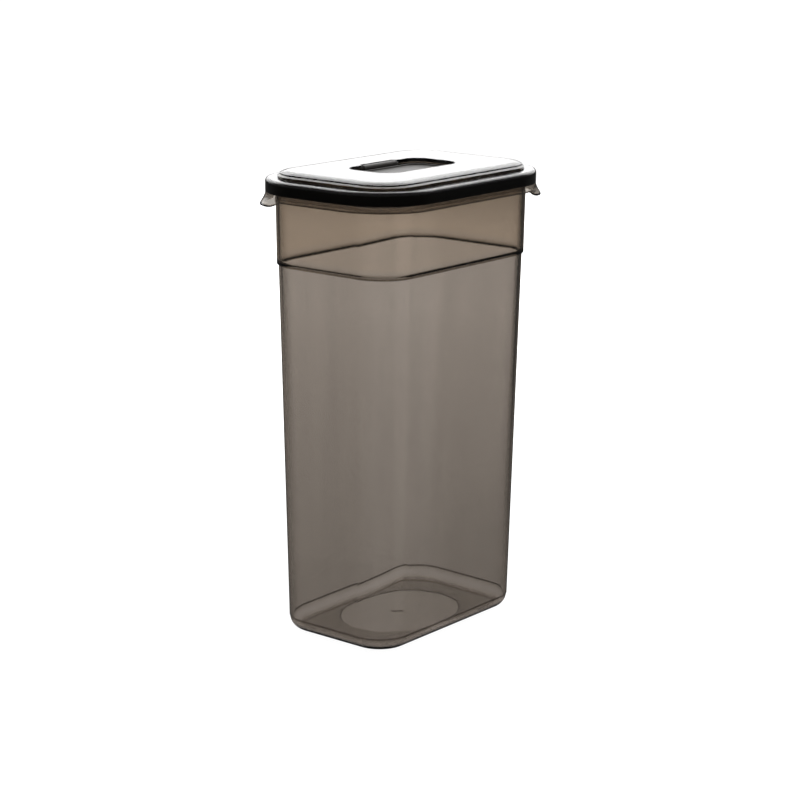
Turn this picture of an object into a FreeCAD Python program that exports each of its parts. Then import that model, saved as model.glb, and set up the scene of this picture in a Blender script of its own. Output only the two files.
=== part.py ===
import FreeCAD, Part
import math
import os
from collections import namedtuple

# Tall food keeper: a smoke-tinted tub with a stepped collar, a peel-off lid with pull tabs at two
# corners, and a hinged pour flap in the recess of the lid's top. Lengths are in millimetres.
# X runs along the long side and Z is up. The origin is at the centre of the base, on the surface
# that the keeper stands on.

# Tub: the outline at the foot, and how the wall leans out up to the step and above it
foot_length = 125.0
foot_width = 79.6
foot_corner_radius = 19.6
base_edge_radius = 9.0
step_height = 208.7
wall_draft = 3.92
corner_draft = 0.8
step_out = 0.98
inner_step_lift = 0.6
collar_height = 42.2
collar_draft = 0.57
wall = 1.8
floor_thickness = 2.2

# Tub: the rim that the lid grips, and the oval panel of the floor
rim_reach = 4.25
rim_thickness = 2.0
rim_corner_radius = 31.4
rim_edge_share = 0.35
oval_length = 75.0
oval_side_gap = 0.8
oval_rise = 0.8
gate_length = 4.2
gate_width = 1.8
gate_height = 0.4
gate_round_share = 0.49

# Rim seal: an inverted L that lies on the rim and hangs down outside it
rim_gap = 0.4
seal_leg = 1.5
seal_fit = 0.1
seal_web = 1.4
seal_drop = 4.4
web_margin = 1.0

# Lid frame: flange, skirt, plug and the rib that centres the panel
skirt_wall = 1.4
skirt_drop = 7.25
flange_thickness = 1.6
shoulder_radius = 2.8
plug_clearance = 0.35
plug_wall = 1.4
plug_drop = 5.9
plug_ledge = 1.3
rib_fit = 0.15
rib_height = 1.6

# Lid frame: pull tabs at two opposite corners
tab_reach = 3.4
tab_drop = 2.2
tab_thickness = 1.3
tab_blend = 3.5
tab_half_angle = 32.0
tab_root_share = 0.25
tab_inner_share = 0.6

# Lid panel: side wall, rolled edge and plate
panel_overlap = 0.62
panel_side = 2.2
panel_wall = 1.8
panel_thickness = 2.2
roll_width = 6.9
roll_rise = 1.9
roll_steps = 5

# Lid panel: the recess, and the pour mouth below it
recess_length = 63.5
recess_width = 33.5
recess_corner_radius = 10.0
recess_depth = 3.6
well_wall = 1.8
ledge_width = 4.75
ledge_thickness = 1.8
neck_wall = 1.6
neck_length = 5.0

# Pour flap: plate, the raised bead near its edge, plug, thumb rib and hinge barrel
flap_gap = 0.4
flap_thickness = 1.8
flap_edge_share = 0.25
bead_set_in = 0.9
bead_width = 1.2
bead_height = 0.8
bead_round_share = 0.35
flap_plug_gap = 1.2
flap_plug_wall = 1.4
flap_plug_depth = 1.8
thumb_rib_length = 22.0
thumb_rib_width = 1.5
thumb_rib_height = 1.6
thumb_rib_place_share = 0.52
barrel_length = 28.0
barrel_radius = 1.7
barrel_sink = 0.1
barrel_reach = 1.3
barrel_clearance = 0.3
web_set_back = 0.8
web_back_share = 0.5
tongue_length = 3.0
stub_radius = 0.8
stub_length = 2.4
stub_clearance = 0.05

# Flap seal
flap_seal_thickness = 0.8
flap_seal_width = 2.2
flap_seal_margin = 0.4

# How far every cut runs past the face that it leaves, and how near two heights count as one
overrun = 1.0
tolerance = 0.001

Outline = namedtuple("Outline", "length width radius")
vector = FreeCAD.Vector


def grown(outline, by):
    """The outline moved outwards all round by a distance, or inwards by a negative one."""
    return Outline(outline.length + 2 * by, outline.width + 2 * by, outline.radius + by)


# Outlines of the tub, from the foot up to the rim
foot = Outline(foot_length, foot_width, foot_corner_radius)
shoulder = Outline(
    foot_length + 2 * wall_draft, foot_width + 2 * wall_draft, foot_corner_radius + corner_draft
)
collar_foot = grown(shoulder, step_out)
collar_top = grown(collar_foot, collar_draft)
mouth = grown(collar_top, -wall)
rim = Outline(collar_top.length + 2 * rim_reach, collar_top.width + 2 * rim_reach, rim_corner_radius)

# Outlines of the seal and the lid, each set off from the rim or the mouth
seal_inside = grown(rim, rim_gap)
seal_outside = grown(seal_inside, seal_leg)
skirt_inside = grown(seal_outside, seal_fit)
flange = grown(skirt_inside, skirt_wall)
plug = grown(mouth, -plug_clearance - collar_draft * plug_drop / collar_height)
lid_opening = grown(plug, -plug_wall - plug_ledge)
panel = grown(mouth, panel_overlap)
panel_inside = grown(panel, -panel_wall)
rib = grown(panel_inside, -rib_fit)
recess = Outline(recess_length, recess_width, recess_corner_radius)
pour_mouth = grown(recess, -ledge_width)
flap_plate = grown(recess, -flap_gap)
flap_plug = grown(pour_mouth, -flap_plug_gap)
flap_seal_inside = grown(pour_mouth, flap_seal_margin)
flap_seal_outside = grown(flap_seal_inside, flap_seal_width)

# Heights
inner_step = step_height + inner_step_lift
rim_low = step_height + collar_height
rim_top = rim_low + rim_thickness
seal_low = rim_top - seal_drop
skirt_low = rim_top - skirt_drop
plug_low = rim_top - plug_drop
flange_low = rim_top + seal_web
flange_top = flange_low + flange_thickness
panel_side_top = flange_top + panel_side
panel_top = panel_side_top + roll_rise
panel_low = panel_top - panel_thickness
flap_top = panel_top - recess_depth
flap_low = flap_top - flap_thickness
ledge_top = flap_low - flap_seal_thickness
ledge_low = ledge_top - ledge_thickness
neck_low = ledge_low - neck_length

# The flap's hinge line, along X on the far long wall of the recess
hinge_y = recess_width / 2 - barrel_reach + barrel_radius
hinge_z = panel_top - barrel_sink - barrel_radius
pocket_half = barrel_length / 2 + barrel_clearance
pocket_back = hinge_y + barrel_radius + barrel_clearance
stub_hole_end = pocket_half + stub_length


def ring_wire(outline, height):
    """A rounded rectangle round the Z axis at a height: four corner arcs joined by four sides."""
    along = outline.length / 2 - outline.radius
    across = outline.width / 2 - outline.radius
    centres = ((along, across), (-along, across), (-along, -across), (along, -across))
    corners = []
    for turn, (x, y) in enumerate(centres):
        angles = [(turn + half / 2) * math.pi / 2 for half in range(3)]
        corners.append([
            vector(x + outline.radius * math.cos(a), y + outline.radius * math.sin(a), height)
            for a in angles
        ])
    edges = []
    for corner, following in zip(corners, corners[1:] + corners[:1]):
        edges.append(Part.Arc(*corner).toShape())
        edges.append(Part.LineSegment(corner[-1], following[0]).toShape())
    return Part.Wire(edges)


def slab(outline, low, high):
    """A rounded rectangle pulled up from one height to another."""
    return Part.Face(ring_wire(outline, low)).extrude(vector(0, 0, high - low))


def taper(sections):
    """A solid through rounded rectangles, each given with its height, with straight walls between."""
    wires = [ring_wire(outline, height) for outline, height in sections]
    return Part.makeLoft(wires, True, True)


def block(low_corner, high_corner):
    """A box between two corners."""
    size = [high - low for low, high in zip(low_corner, high_corner)]
    return Part.makeBox(*size, vector(*low_corner))


def rod_along_x(radius, start, end, y, z):
    """A cylinder along X between two places."""
    return Part.makeCylinder(radius, end - start, vector(start, y, z), vector(1, 0, 0))


def rounded_at(solid, height, radius):
    """The solid with all its edges at a height rounded."""
    edges = [e for e in solid.Edges if all(abs(v.Z - height) < tolerance for v in e.Vertexes)]
    return solid.makeFillet(radius, edges)


def oval_disc(length, width, low, high):
    """An elliptical disc, whichever of its two axes is the longer."""
    ellipse = Part.Ellipse(vector(0, 0, low), max(length, width) / 2, min(length, width) / 2)
    if width > length:
        ellipse.rotate(FreeCAD.Placement(vector(0, 0, 0), FreeCAD.Rotation(90, 0, 0)))
    return Part.Face(Part.Wire(ellipse.toShape())).extrude(vector(0, 0, high - low))


def container_body():
    """The tub: drafted wall, step, collar and rim, hollowed to an even wall, with its floor panel."""
    lower = rounded_at(taper([(foot, 0), (shoulder, step_height)]), 0, base_edge_radius)
    collar = taper([(collar_foot, step_height), (collar_top, rim_low)])
    lip = slab(rim, rim_low, rim_top)
    for height in (rim_low, rim_top):
        lip = rounded_at(lip, height, rim_thickness * rim_edge_share)
    outside = lower.fuse([collar, lip])

    well = taper([(grown(foot, -wall), floor_thickness), (grown(shoulder, -wall), inner_step)])
    well = rounded_at(well, floor_thickness, base_edge_radius - wall)
    upper = taper([(grown(collar_foot, -wall), inner_step), (mouth, rim_low)])
    tub = outside.cut([well, upper, slab(mouth, rim_low, rim_top + overrun)])

    oval_width = foot_width - 2 * (base_edge_radius + oval_side_gap)
    tub = tub.fuse(oval_disc(oval_length, oval_width, floor_thickness, floor_thickness + oval_rise))
    tub = tub.cut(oval_disc(oval_length, oval_width, 0, oval_rise))
    gate = Outline(gate_length, gate_width, gate_width * gate_round_share)
    return tub.fuse(slab(gate, oval_rise - gate_height, oval_rise)).removeSplitter()


def rim_seal():
    """The seal ring: a web that lies on the rim and a leg that hangs down outside it."""
    outside = slab(seal_outside, seal_low, flange_low)
    over_rim = slab(seal_inside, seal_low - overrun, rim_top)
    over_mouth = slab(grown(mouth, web_margin), rim_top - overrun, flange_low + overrun)
    return outside.cut([over_rim, over_mouth])


def pull_tab():
    """A lip flared out from inside the skirt round one corner, and trimmed to a crescent in plan."""
    corner = vector(flange.length / 2 - flange.radius, flange.radius - flange.width / 2, 0)
    root_radius = flange.radius - skirt_wall * tab_root_share
    tip_radius = flange.radius + tab_reach
    start_height = skirt_low + tab_blend
    tip_height = skirt_low - tab_drop + tab_thickness
    reach = tip_radius - root_radius
    fall = start_height - tip_height
    flare_radius = (reach ** 2 + fall ** 2) / (2 * reach)
    half_turn = math.atan2(fall, flare_radius - reach) / 2
    middle = vector(
        root_radius + flare_radius * (1 - math.cos(half_turn)),
        0,
        start_height - flare_radius * math.sin(half_turn),
    )
    inner_radius = flange.radius - skirt_wall * tab_inner_share
    inner = vector(inner_radius, 0, skirt_low)
    inner_top = vector(inner_radius, 0, start_height)
    outer_top = vector(root_radius, 0, start_height)
    tip_top = vector(tip_radius, 0, tip_height)
    tip_low = vector(tip_radius, 0, tip_height - tab_thickness)
    profile = Part.Wire([
        Part.LineSegment(inner, inner_top).toShape(),
        Part.LineSegment(inner_top, outer_top).toShape(),
        Part.Arc(outer_top, middle, tip_top).toShape(),
        Part.LineSegment(tip_top, tip_low).toShape(),
        Part.LineSegment(tip_low, inner).toShape(),
    ])
    face = Part.Face(profile)
    face.rotate(vector(0, 0, 0), vector(0, 0, 1), -tab_half_angle)
    lip = face.revolve(vector(0, 0, 0), vector(0, 0, 1), 2 * tab_half_angle)

    chord = flange.radius * math.cos(math.radians(tab_half_angle))
    crescent_centre = (tip_radius ** 2 - flange.radius ** 2) / (2 * (tip_radius - chord))
    crescent_low = skirt_low - tab_drop - overrun
    crescent = Part.makeCylinder(
        tip_radius - crescent_centre,
        flange_top - crescent_low,
        vector(crescent_centre, 0, crescent_low),
    )
    tab = lip.common(crescent)
    tab.rotate(vector(0, 0, 0), vector(0, 0, 1), -45)
    tab.translate(corner)
    return tab


def lid_frame():
    """The lid's outer moulding: flange and skirt, plug, centring rib and the two pull tabs."""
    outside = rounded_at(slab(flange, skirt_low, flange_top), flange_top, shoulder_radius)
    frame = outside.cut(slab(skirt_inside, skirt_low - overrun, flange_low))
    frame = frame.fuse(slab(plug, plug_low, flange_low))
    frame = frame.fuse(slab(rib, flange_top, flange_top + rib_height))
    plug_inside = slab(grown(plug, -plug_wall), plug_low - overrun, flange_low)
    opening = slab(lid_opening, flange_low - overrun, flange_top + rib_height + overrun)
    frame = frame.cut([plug_inside, opening])
    tab = pull_tab()
    other_tab = tab.copy()
    other_tab.rotate(vector(0, 0, 0), vector(0, 0, 1), 180)
    return frame.fuse([tab, other_tab]).removeSplitter()


def hinge_pocket():
    """The pocket for the flap's barrel, and the blind holes, open to the front, that hold its stubs."""
    pocket = block(
        (-pocket_half, recess_width / 2 - overrun, ledge_top),
        (pocket_half, pocket_back, panel_top + overrun),
    )
    holes = rod_along_x(stub_radius + stub_clearance, -stub_hole_end, stub_hole_end, hinge_y, hinge_z)
    return pocket.fuse(holes)


def lid_panel():
    """The raised top: side wall, rolled edge, recess with its hinge pocket, and the pour neck."""
    sections = [(panel, flange_top)]
    for step in range(roll_steps + 1):
        share = step / roll_steps
        height = panel_top - roll_rise * (1 - share) ** 2
        sections.append((grown(panel, -roll_width * share), height))
    top = taper(sections).cut(slab(panel_inside, flange_top - overrun, panel_low))

    boss_half = stub_hole_end + well_wall
    boss_back = pocket_back + well_wall
    boss = block((-boss_half, recess_width / 2, ledge_low), (boss_half, boss_back, panel_low))
    well = slab(grown(recess, well_wall), ledge_low, panel_low)
    neck = slab(grown(pour_mouth, neck_wall), neck_low, ledge_low)
    cuts = [
        slab(recess, ledge_top, panel_top + overrun),
        slab(pour_mouth, neck_low - overrun, ledge_top + overrun),
        hinge_pocket(),
    ]
    return top.fuse([well, boss, neck]).cut(cuts).removeSplitter()


def pour_flap():
    """The flap: plate and bead, plug ring, thumb rib, and the hinge barrel with its two stubs."""
    plate = rounded_at(slab(flap_plate, flap_low, flap_top), flap_top, flap_thickness * flap_edge_share)
    bead_outside = grown(flap_plate, -bead_set_in)
    bead_top = flap_top + bead_height
    bead = slab(bead_outside, flap_low, bead_top)
    bead = bead.cut(slab(grown(bead_outside, -bead_width), flap_low - overrun, bead_top + overrun))
    bead = rounded_at(bead, bead_top, bead_width * bead_round_share)
    plug_low_end = ledge_top - flap_plug_depth
    ring = slab(flap_plug, plug_low_end, flap_low)
    ring = ring.cut(slab(grown(flap_plug, -flap_plug_wall), plug_low_end - overrun, flap_low))
    rib_y = -thumb_rib_place_share * recess_width / 2
    thumb_rib = block(
        (-thumb_rib_length / 2, rib_y - thumb_rib_width / 2, flap_low),
        (thumb_rib_length / 2, rib_y + thumb_rib_width / 2, flap_top + thumb_rib_height),
    )
    web_back = hinge_y + barrel_radius * web_back_share
    web = block(
        (-barrel_length / 2, hinge_y - barrel_radius + web_set_back, flap_low),
        (barrel_length / 2, web_back, hinge_z),
    )
    tongue = block(
        (-barrel_length / 2, web_back - tongue_length, flap_low),
        (barrel_length / 2, web_back, flap_top),
    )
    barrel = rod_along_x(barrel_radius, -barrel_length / 2, barrel_length / 2, hinge_y, hinge_z)
    stub_end = barrel_length / 2 + stub_length
    stubs = rod_along_x(stub_radius, -stub_end, stub_end, hinge_y, hinge_z)
    return plate.fuse([bead, ring, thumb_rib, web, tongue, barrel, stubs]).removeSplitter()


def flap_seal():
    """The flat gasket between the flap and the ledge round the pour mouth."""
    return slab(flap_seal_outside, ledge_top, flap_low).cut(
        slab(flap_seal_inside, ledge_top - overrun, flap_low + overrun)
    )


os.makedirs("parts", exist_ok=True)
for piece in (container_body, rim_seal, lid_frame, lid_panel, pour_flap, flap_seal):
    shape = piece()
    shape.exportStep(f"parts/{piece.__name__}.step")
    box = shape.optimalBoundingBox()
    print(
        piece.__name__, "valid", shape.isValid(), "solids", len(shape.Solids),
        "volume", round(shape.Volume, 1), "z", round(box.ZMin, 2), round(box.ZMax, 2),
        "size", round(box.XLength, 2), round(box.YLength, 2),
    )
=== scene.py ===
"""Looks of a tall food keeper: a smoke-clear tub, a peel-off lid with a black seal, and a pour flap.

Sizes are in millimetres until a mesh is made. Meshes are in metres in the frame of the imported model:
X along the long side, +Y towards the flap's hinge, Z up, origin at the centre of the base.
"""

from __future__ import annotations

import logging
import math
from dataclasses import dataclass, replace
from enum import Enum
from typing import Any, Mapping, Sequence, Union

import bpy
import numpy as np
from mathutils import Matrix, Vector


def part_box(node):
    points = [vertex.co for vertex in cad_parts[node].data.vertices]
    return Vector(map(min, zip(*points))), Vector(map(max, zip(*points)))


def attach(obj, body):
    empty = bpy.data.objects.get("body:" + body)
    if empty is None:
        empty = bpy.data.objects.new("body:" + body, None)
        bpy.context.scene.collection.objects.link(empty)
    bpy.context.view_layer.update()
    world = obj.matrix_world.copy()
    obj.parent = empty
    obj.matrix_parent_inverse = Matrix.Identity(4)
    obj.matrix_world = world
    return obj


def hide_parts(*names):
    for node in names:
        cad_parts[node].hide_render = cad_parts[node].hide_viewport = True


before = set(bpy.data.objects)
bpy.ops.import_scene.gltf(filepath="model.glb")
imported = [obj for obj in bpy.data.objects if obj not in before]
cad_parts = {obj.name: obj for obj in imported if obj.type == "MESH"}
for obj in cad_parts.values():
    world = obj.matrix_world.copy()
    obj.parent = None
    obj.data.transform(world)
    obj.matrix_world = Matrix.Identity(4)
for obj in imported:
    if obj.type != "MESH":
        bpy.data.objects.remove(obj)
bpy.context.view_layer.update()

log = logging.getLogger("keeper")
Array = np.ndarray
Colour = tuple[float, float, float]
MILLIMETRE = 0.001
UP: Colour = (0.0, 0.0, 1.0)
BROAD_ROUNDING = 2.0
BROAD_STEPS, FINE_STEPS = 13, 6
ARC_ROOM, HOLD_ROOM = 0.49, 0.45
HOLD_SHARE, HOLD_LEAST = 0.4, 0.1
SIDE_PLACES = (0.03, 0.15, 0.5, 0.85, 0.97)
PLACES_BESIDE_NOTCH = (0.015, 0.06, 0.11)
OVAL_SQUARENESS = 0.6
CORNER_STEPS, FLANGE_STEPS, PLATE_STEPS, RING_STEPS, BAR_STEPS, BARREL_STEPS = 24, 32, 16, 10, 6, 28
CLOSE, NEAR = 1e-6, 0.01
SMOOTH = "SMOOTHSTEP"
DEEPEST_TINT = 0.9
WHITE: Colour = (1.0, 1.0, 1.0)


class Body(Enum):
    """Bodies of the keeper that move by themselves."""

    CONTAINER = "container"
    LID = "lid"
    FLAP = "flap"


class Slot(Enum):
    """Material slots of the record."""

    TUB = "tub_smoke"
    LID = "lid_smoke"
    FLAP = "flap_smoke"
    SEAL = "seal_black"


@dataclass(frozen=True)
class Outline:
    """A rounded rectangle round the Z axis, or the oval of that length and width."""

    length: float
    width: float
    radius: float
    oval: float = 0.0

    def grown(self, by: float) -> Outline:
        """The outline moved outwards all round by a distance, or inwards by a negative one."""
        return replace(
            self, length=self.length + 2 * by, width=self.width + 2 * by, radius=self.radius + by
        )

    def towards(self, other: Outline, share: float) -> Outline:
        """The outline that lies a share of the way to another."""
        return replace(
            self,
            length=self.length + share * (other.length - self.length),
            width=self.width + share * (other.width - self.width),
            radius=self.radius + share * (other.radius - self.radius),
        )


@dataclass(frozen=True)
class Turn:
    """A corner of a wall's profile.

    Attributes:
        outline: the outline that the wall follows there.
        height: height above the base.
        rounding: radius of the arc that replaces the corner, or zero for a plain row.
        notch: how far the hinge notch reaches back there.
    """

    outline: Outline
    height: float
    rounding: float = 0.0
    notch: float = 0.0

    def row(self) -> list[float]:
        """Half length, half width, corner radius, oval share, notch depth and height."""
        shape = self.outline
        return [shape.length / 2, shape.width / 2, shape.radius, shape.oval, self.notch, self.height]


def profile_rows(turns: Sequence[Turn], closed: bool) -> Array:
    """Rows of a wall, with its corners rounded.

    An arc runs from a point before the corner to one after it, both radius * tan(half the turn) away:
    ((1-t)^2 a + 2t(1-t) w c + t^2 b) / ((1-t)^2 + 2t(1-t) w + t^2), with w = cos(half the turn). Where
    there is room, a row just outside each end of the arc keeps the flat beside it flat in shading.

    Args:
        turns: the profile's corners in order.
        closed: whether the last corner joins the first.

    Returns:
        An array of rows, as Turn.row gives them.
    """
    corners = np.array([turn.row() for turn in turns])
    rows: list[Array] = []
    for place, turn in enumerate(turns):
        here = corners[place]
        at_end = not closed and place in (0, len(turns) - 1)
        if at_end or turn.rounding == 0:
            rows.append(here[None])
            continue
        before = corners[place - 1] - here
        after = corners[(place + 1) % len(turns)] - here
        back, ahead = math.hypot(before[1], before[5]), math.hypot(after[1], after[5])
        cosine = -(before[1] * after[1] + before[5] * after[5]) / (back * ahead)
        half_turn = math.acos(min(1.0, max(-1.0, cosine))) / 2
        cut = min(turn.rounding * math.tan(half_turn), ARC_ROOM * back, ARC_ROOM * ahead)
        start, end = here + before * cut / back, here + after * cut / ahead
        steps = BROAD_STEPS if turn.rounding > BROAD_ROUNDING else FINE_STEPS
        t = np.linspace(0, 1, steps)[:, None]
        shares = (1 - t) ** 2, 2 * t * (1 - t) * math.cos(half_turn), t ** 2
        arc = (shares[0] * start + shares[1] * here + shares[2] * end) / sum(shares)
        hold = cut + max(HOLD_SHARE * cut, HOLD_LEAST)
        if hold < HOLD_ROOM * back:
            rows.append((here + before * hold / back)[None])
        rows.append(arc)
        if hold < HOLD_ROOM * ahead:
            rows.append((here + after * hold / ahead)[None])
    return np.concatenate(rows)


@dataclass(frozen=True)
class Notch:
    """The pocket for the hinge barrel in the far wall of the recess.

    Attributes:
        half: half its length along X at its floor.
        flare: how much longer it is on each side where it meets the wall.
        flat: share of its floor that places are spread over.
        side_steps: places on each of its sides.
        floor_steps: places on its floor.
    """

    half: float
    flare: float = 0.8
    flat: float = 0.9
    side_steps: int = 8
    floor_steps: int = 5


@dataclass(frozen=True)
class Lap:
    """Places round an outline, the same on every row of a wall.

    Attributes:
        share: share of the half length and half width, less the radius, that each place takes.
        direction: outward direction at each place.
        oval: direction of each place from the centre, for an oval.
        notch_x: place along X inside the notch, or nan outside it.
        notch_share: share of the notch's depth at each place.
    """

    share: Array
    direction: Array
    oval: Array
    notch_x: Array
    notch_share: Array

    @classmethod
    def round_all(cls, corner_steps: int, notch: Notch | None = None) -> Lap:
        """Places anticlockwise from the +X side: even angles round each corner, then along the next side.

        Args:
            corner_steps: steps round each corner.
            notch: the hinge notch in the +Y side, if the wall has one.

        Returns:
            The lap.
        """
        quarter = np.linspace(0, math.pi / 2, corner_steps + 1)
        signs = np.array([(1, 1), (-1, 1), (-1, -1), (1, -1)], float)
        plain, beside = np.array(SIDE_PLACES), np.array(PLACES_BESIDE_NOTCH)
        shares, directions, places, depths = [], [], [], []
        for turn in range(4):
            angles = quarter + turn * math.pi / 2
            shares.append(np.tile(signs[turn], (len(angles), 1)))
            directions.append(np.stack([np.cos(angles), np.sin(angles)], 1))
            along, depth = np.full(len(plain), np.nan), np.zeros(len(plain))
            steps = plain
            if notch and turn == 0:
                u = np.linspace(0, 1, notch.side_steps)
                wall = notch.half + notch.flare * (1 - u)
                floor = np.linspace(notch.flat, -notch.flat, notch.floor_steps) * notch.half
                inside = np.concatenate([wall, floor, -wall[::-1]])
                fall = (1 - np.cos(math.pi * u)) / 2
                inside_depth = np.concatenate([fall, np.ones(notch.floor_steps), fall[::-1]])
                gap = np.full(len(beside), np.nan)
                steps = np.concatenate([beside, np.full(len(inside), 0.5), 1 - beside[::-1]])
                along = np.concatenate([gap, inside, gap])
                depth = np.concatenate([gap * 0, inside_depth, gap * 0])
            t = steps[:, None]
            shares.append((1 - t) * signs[turn] + t * signs[(turn + 1) % 4])
            directions.append(np.tile(directions[-1][-1], (len(steps), 1)))
            places += [np.full(len(angles), np.nan), along]
            depths += [np.zeros(len(angles)), depth]
        share, direction = np.concatenate(shares), np.concatenate(directions)
        square = OVAL_SQUARENESS * share + (1 - OVAL_SQUARENESS) * direction
        oval = square / np.linalg.norm(square, axis=1, keepdims=True)
        return cls(share, direction, oval, np.concatenate(places), np.nan_to_num(np.concatenate(depths)))


def wall_points(rows: Array, lap: Lap) -> Array:
    """Points of a wall: share * (half size - radius) + radius * direction on each row at each place.

    A row's oval share moves its points towards half size * oval direction, and in the notch the points
    take the notch's own place along X and move back by their share of its depth.

    Args:
        rows: profile rows.
        lap: places round the outline.

    Returns:
        Points, indexed by row, place and axis.
    """
    half, radius = rows[:, None, 0:2], rows[:, None, 2:3]
    flat = lap.share * (half - radius) + radius * lap.direction
    flat = flat + rows[:, None, 3:4] * (half * lap.oval - flat)
    inside = ~np.isnan(lap.notch_x)
    flat[:, inside, 0] = lap.notch_x[inside]
    flat[:, inside, 1] += rows[:, 4:5] * lap.notch_share[inside]
    height = np.broadcast_to(rows[:, None, 5:6], flat.shape[:2] + (1,))
    return np.concatenate([flat, height], axis=2)


@dataclass(frozen=True)
class Shell:
    """A closed surface: its points in millimetres and its faces."""

    points: Array
    faces: list[list[int]]

    @classmethod
    def skin(cls, grid: Array, closed: bool) -> Shell:
        """Quads over a grid that wraps round its places.

        Args:
            grid: points by row, place and axis; rows run up the outside and down the inside.
            closed: whether the last row joins the first. If not, a pole closes each end.

        Returns:
            The shell, with its faces outwards.
        """
        rows, places = grid.shape[:2]
        index = np.arange(rows * places).reshape(rows, places)
        low = index if closed else index[:-1]
        high = np.roll(index, -1, 0) if closed else index[1:]
        quads = np.stack([low, np.roll(low, -1, 1), np.roll(high, -1, 1), high], 2).reshape(-1, 4)
        points, faces = grid.reshape(-1, 3), quads.tolist()
        if not closed:
            poles = np.stack([grid[0].mean(0), grid[-1].mean(0)])
            first, last = len(points), len(points) + 1
            points = np.concatenate([points, poles])
            begin, end = index[0], index[-1]
            faces += np.stack([np.roll(begin, -1), begin, np.full(places, first)], 1).tolist()
            faces += np.stack([end, np.roll(end, -1), np.full(places, last)], 1).tolist()
        return cls(points, faces)

    @classmethod
    def turned(cls, profile: Sequence[tuple[float, float]], y: float, z: float, steps: int) -> Shell:
        """A shape turned about a line along X: (x, y + r cos a, z + r sin a) for each profile point.

        Args:
            profile: pairs of place along X and radius, in order along X.
            y: the line's place along Y.
            z: the line's height.
            steps: places round the line.

        Returns:
            The shell.
        """
        x, radius = np.array(profile).T
        angle = np.linspace(0, 2 * math.pi, steps, endpoint=False)
        across = y + radius[:, None] * np.cos(angle)
        up = z + radius[:, None] * np.sin(angle)
        along = np.broadcast_to(x[:, None], across.shape)
        return cls.skin(np.stack([along, across, up], 2), closed=False)

    def moved(self, x: float, y: float, z: float) -> Shell:
        """The shell moved by a distance along each axis."""
        return Shell(self.points + np.array([x, y, z]), self.faces)


def wall_shell(turns: Sequence[Turn], lap: Lap, closed: bool) -> Shell:
    """The shell of a wall, from its profile and the places round it."""
    return Shell.skin(wall_points(profile_rows(turns, closed), lap), closed)


def make_piece(name: str, shells: Sequence[Shell], finish: bpy.types.Material) -> bpy.types.Object:
    """One smooth mesh object from shells, in metres.

    Args:
        name: the object's name.
        shells: closed surfaces in millimetres.
        finish: its material.

    Returns:
        The object, linked to the scene.
    """
    starts = np.cumsum([0] + [len(shell.points) for shell in shells[:-1]]).tolist()
    points = np.concatenate([shell.points for shell in shells]) * MILLIMETRE
    faces = [[start + i for i in face] for start, shell in zip(starts, shells) for face in shell.faces]
    mesh = bpy.data.meshes.new(name)
    mesh.from_pydata(points.tolist(), [], faces)
    mesh.polygons.foreach_set("use_smooth", np.ones(len(faces), bool))
    mesh.materials.append(finish)
    mesh.update()
    piece = bpy.data.objects.new(name, mesh)
    bpy.context.scene.collection.objects.link(piece)
    log.info("%s: %d faces", name, len(faces))
    return piece


def seat(piece: bpy.types.Object, body: Body, node: str) -> None:
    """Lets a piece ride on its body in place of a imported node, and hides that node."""
    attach(piece, body.value)
    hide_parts(node)


def node_box(node: str) -> tuple[Array, Array]:
    """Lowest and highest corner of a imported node, in millimetres."""
    low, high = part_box(node)
    return np.array(low) / MILLIMETRE, np.array(high) / MILLIMETRE


class Signal:
    """An output socket, with arithmetic that adds Math nodes."""

    def __init__(self, board: Board, socket: bpy.types.NodeSocket) -> None:
        """Wraps a socket on a board."""
        self.board = board
        self.socket = socket

    def __add__(self, other: Number) -> Signal:
        """This plus another."""
        return self.board.maths("ADD", self, other)

    def __sub__(self, other: Number) -> Signal:
        """This less another."""
        return self.board.maths("SUBTRACT", self, other)

    def __rsub__(self, other: Number) -> Signal:
        """Another less this."""
        return self.board.maths("SUBTRACT", other, self)

    def __mul__(self, other: Number) -> Signal:
        """This times another."""
        return self.board.maths("MULTIPLY", self, other)

    __radd__ = __add__
    __rmul__ = __mul__


Number = Union[Signal, float]


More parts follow.
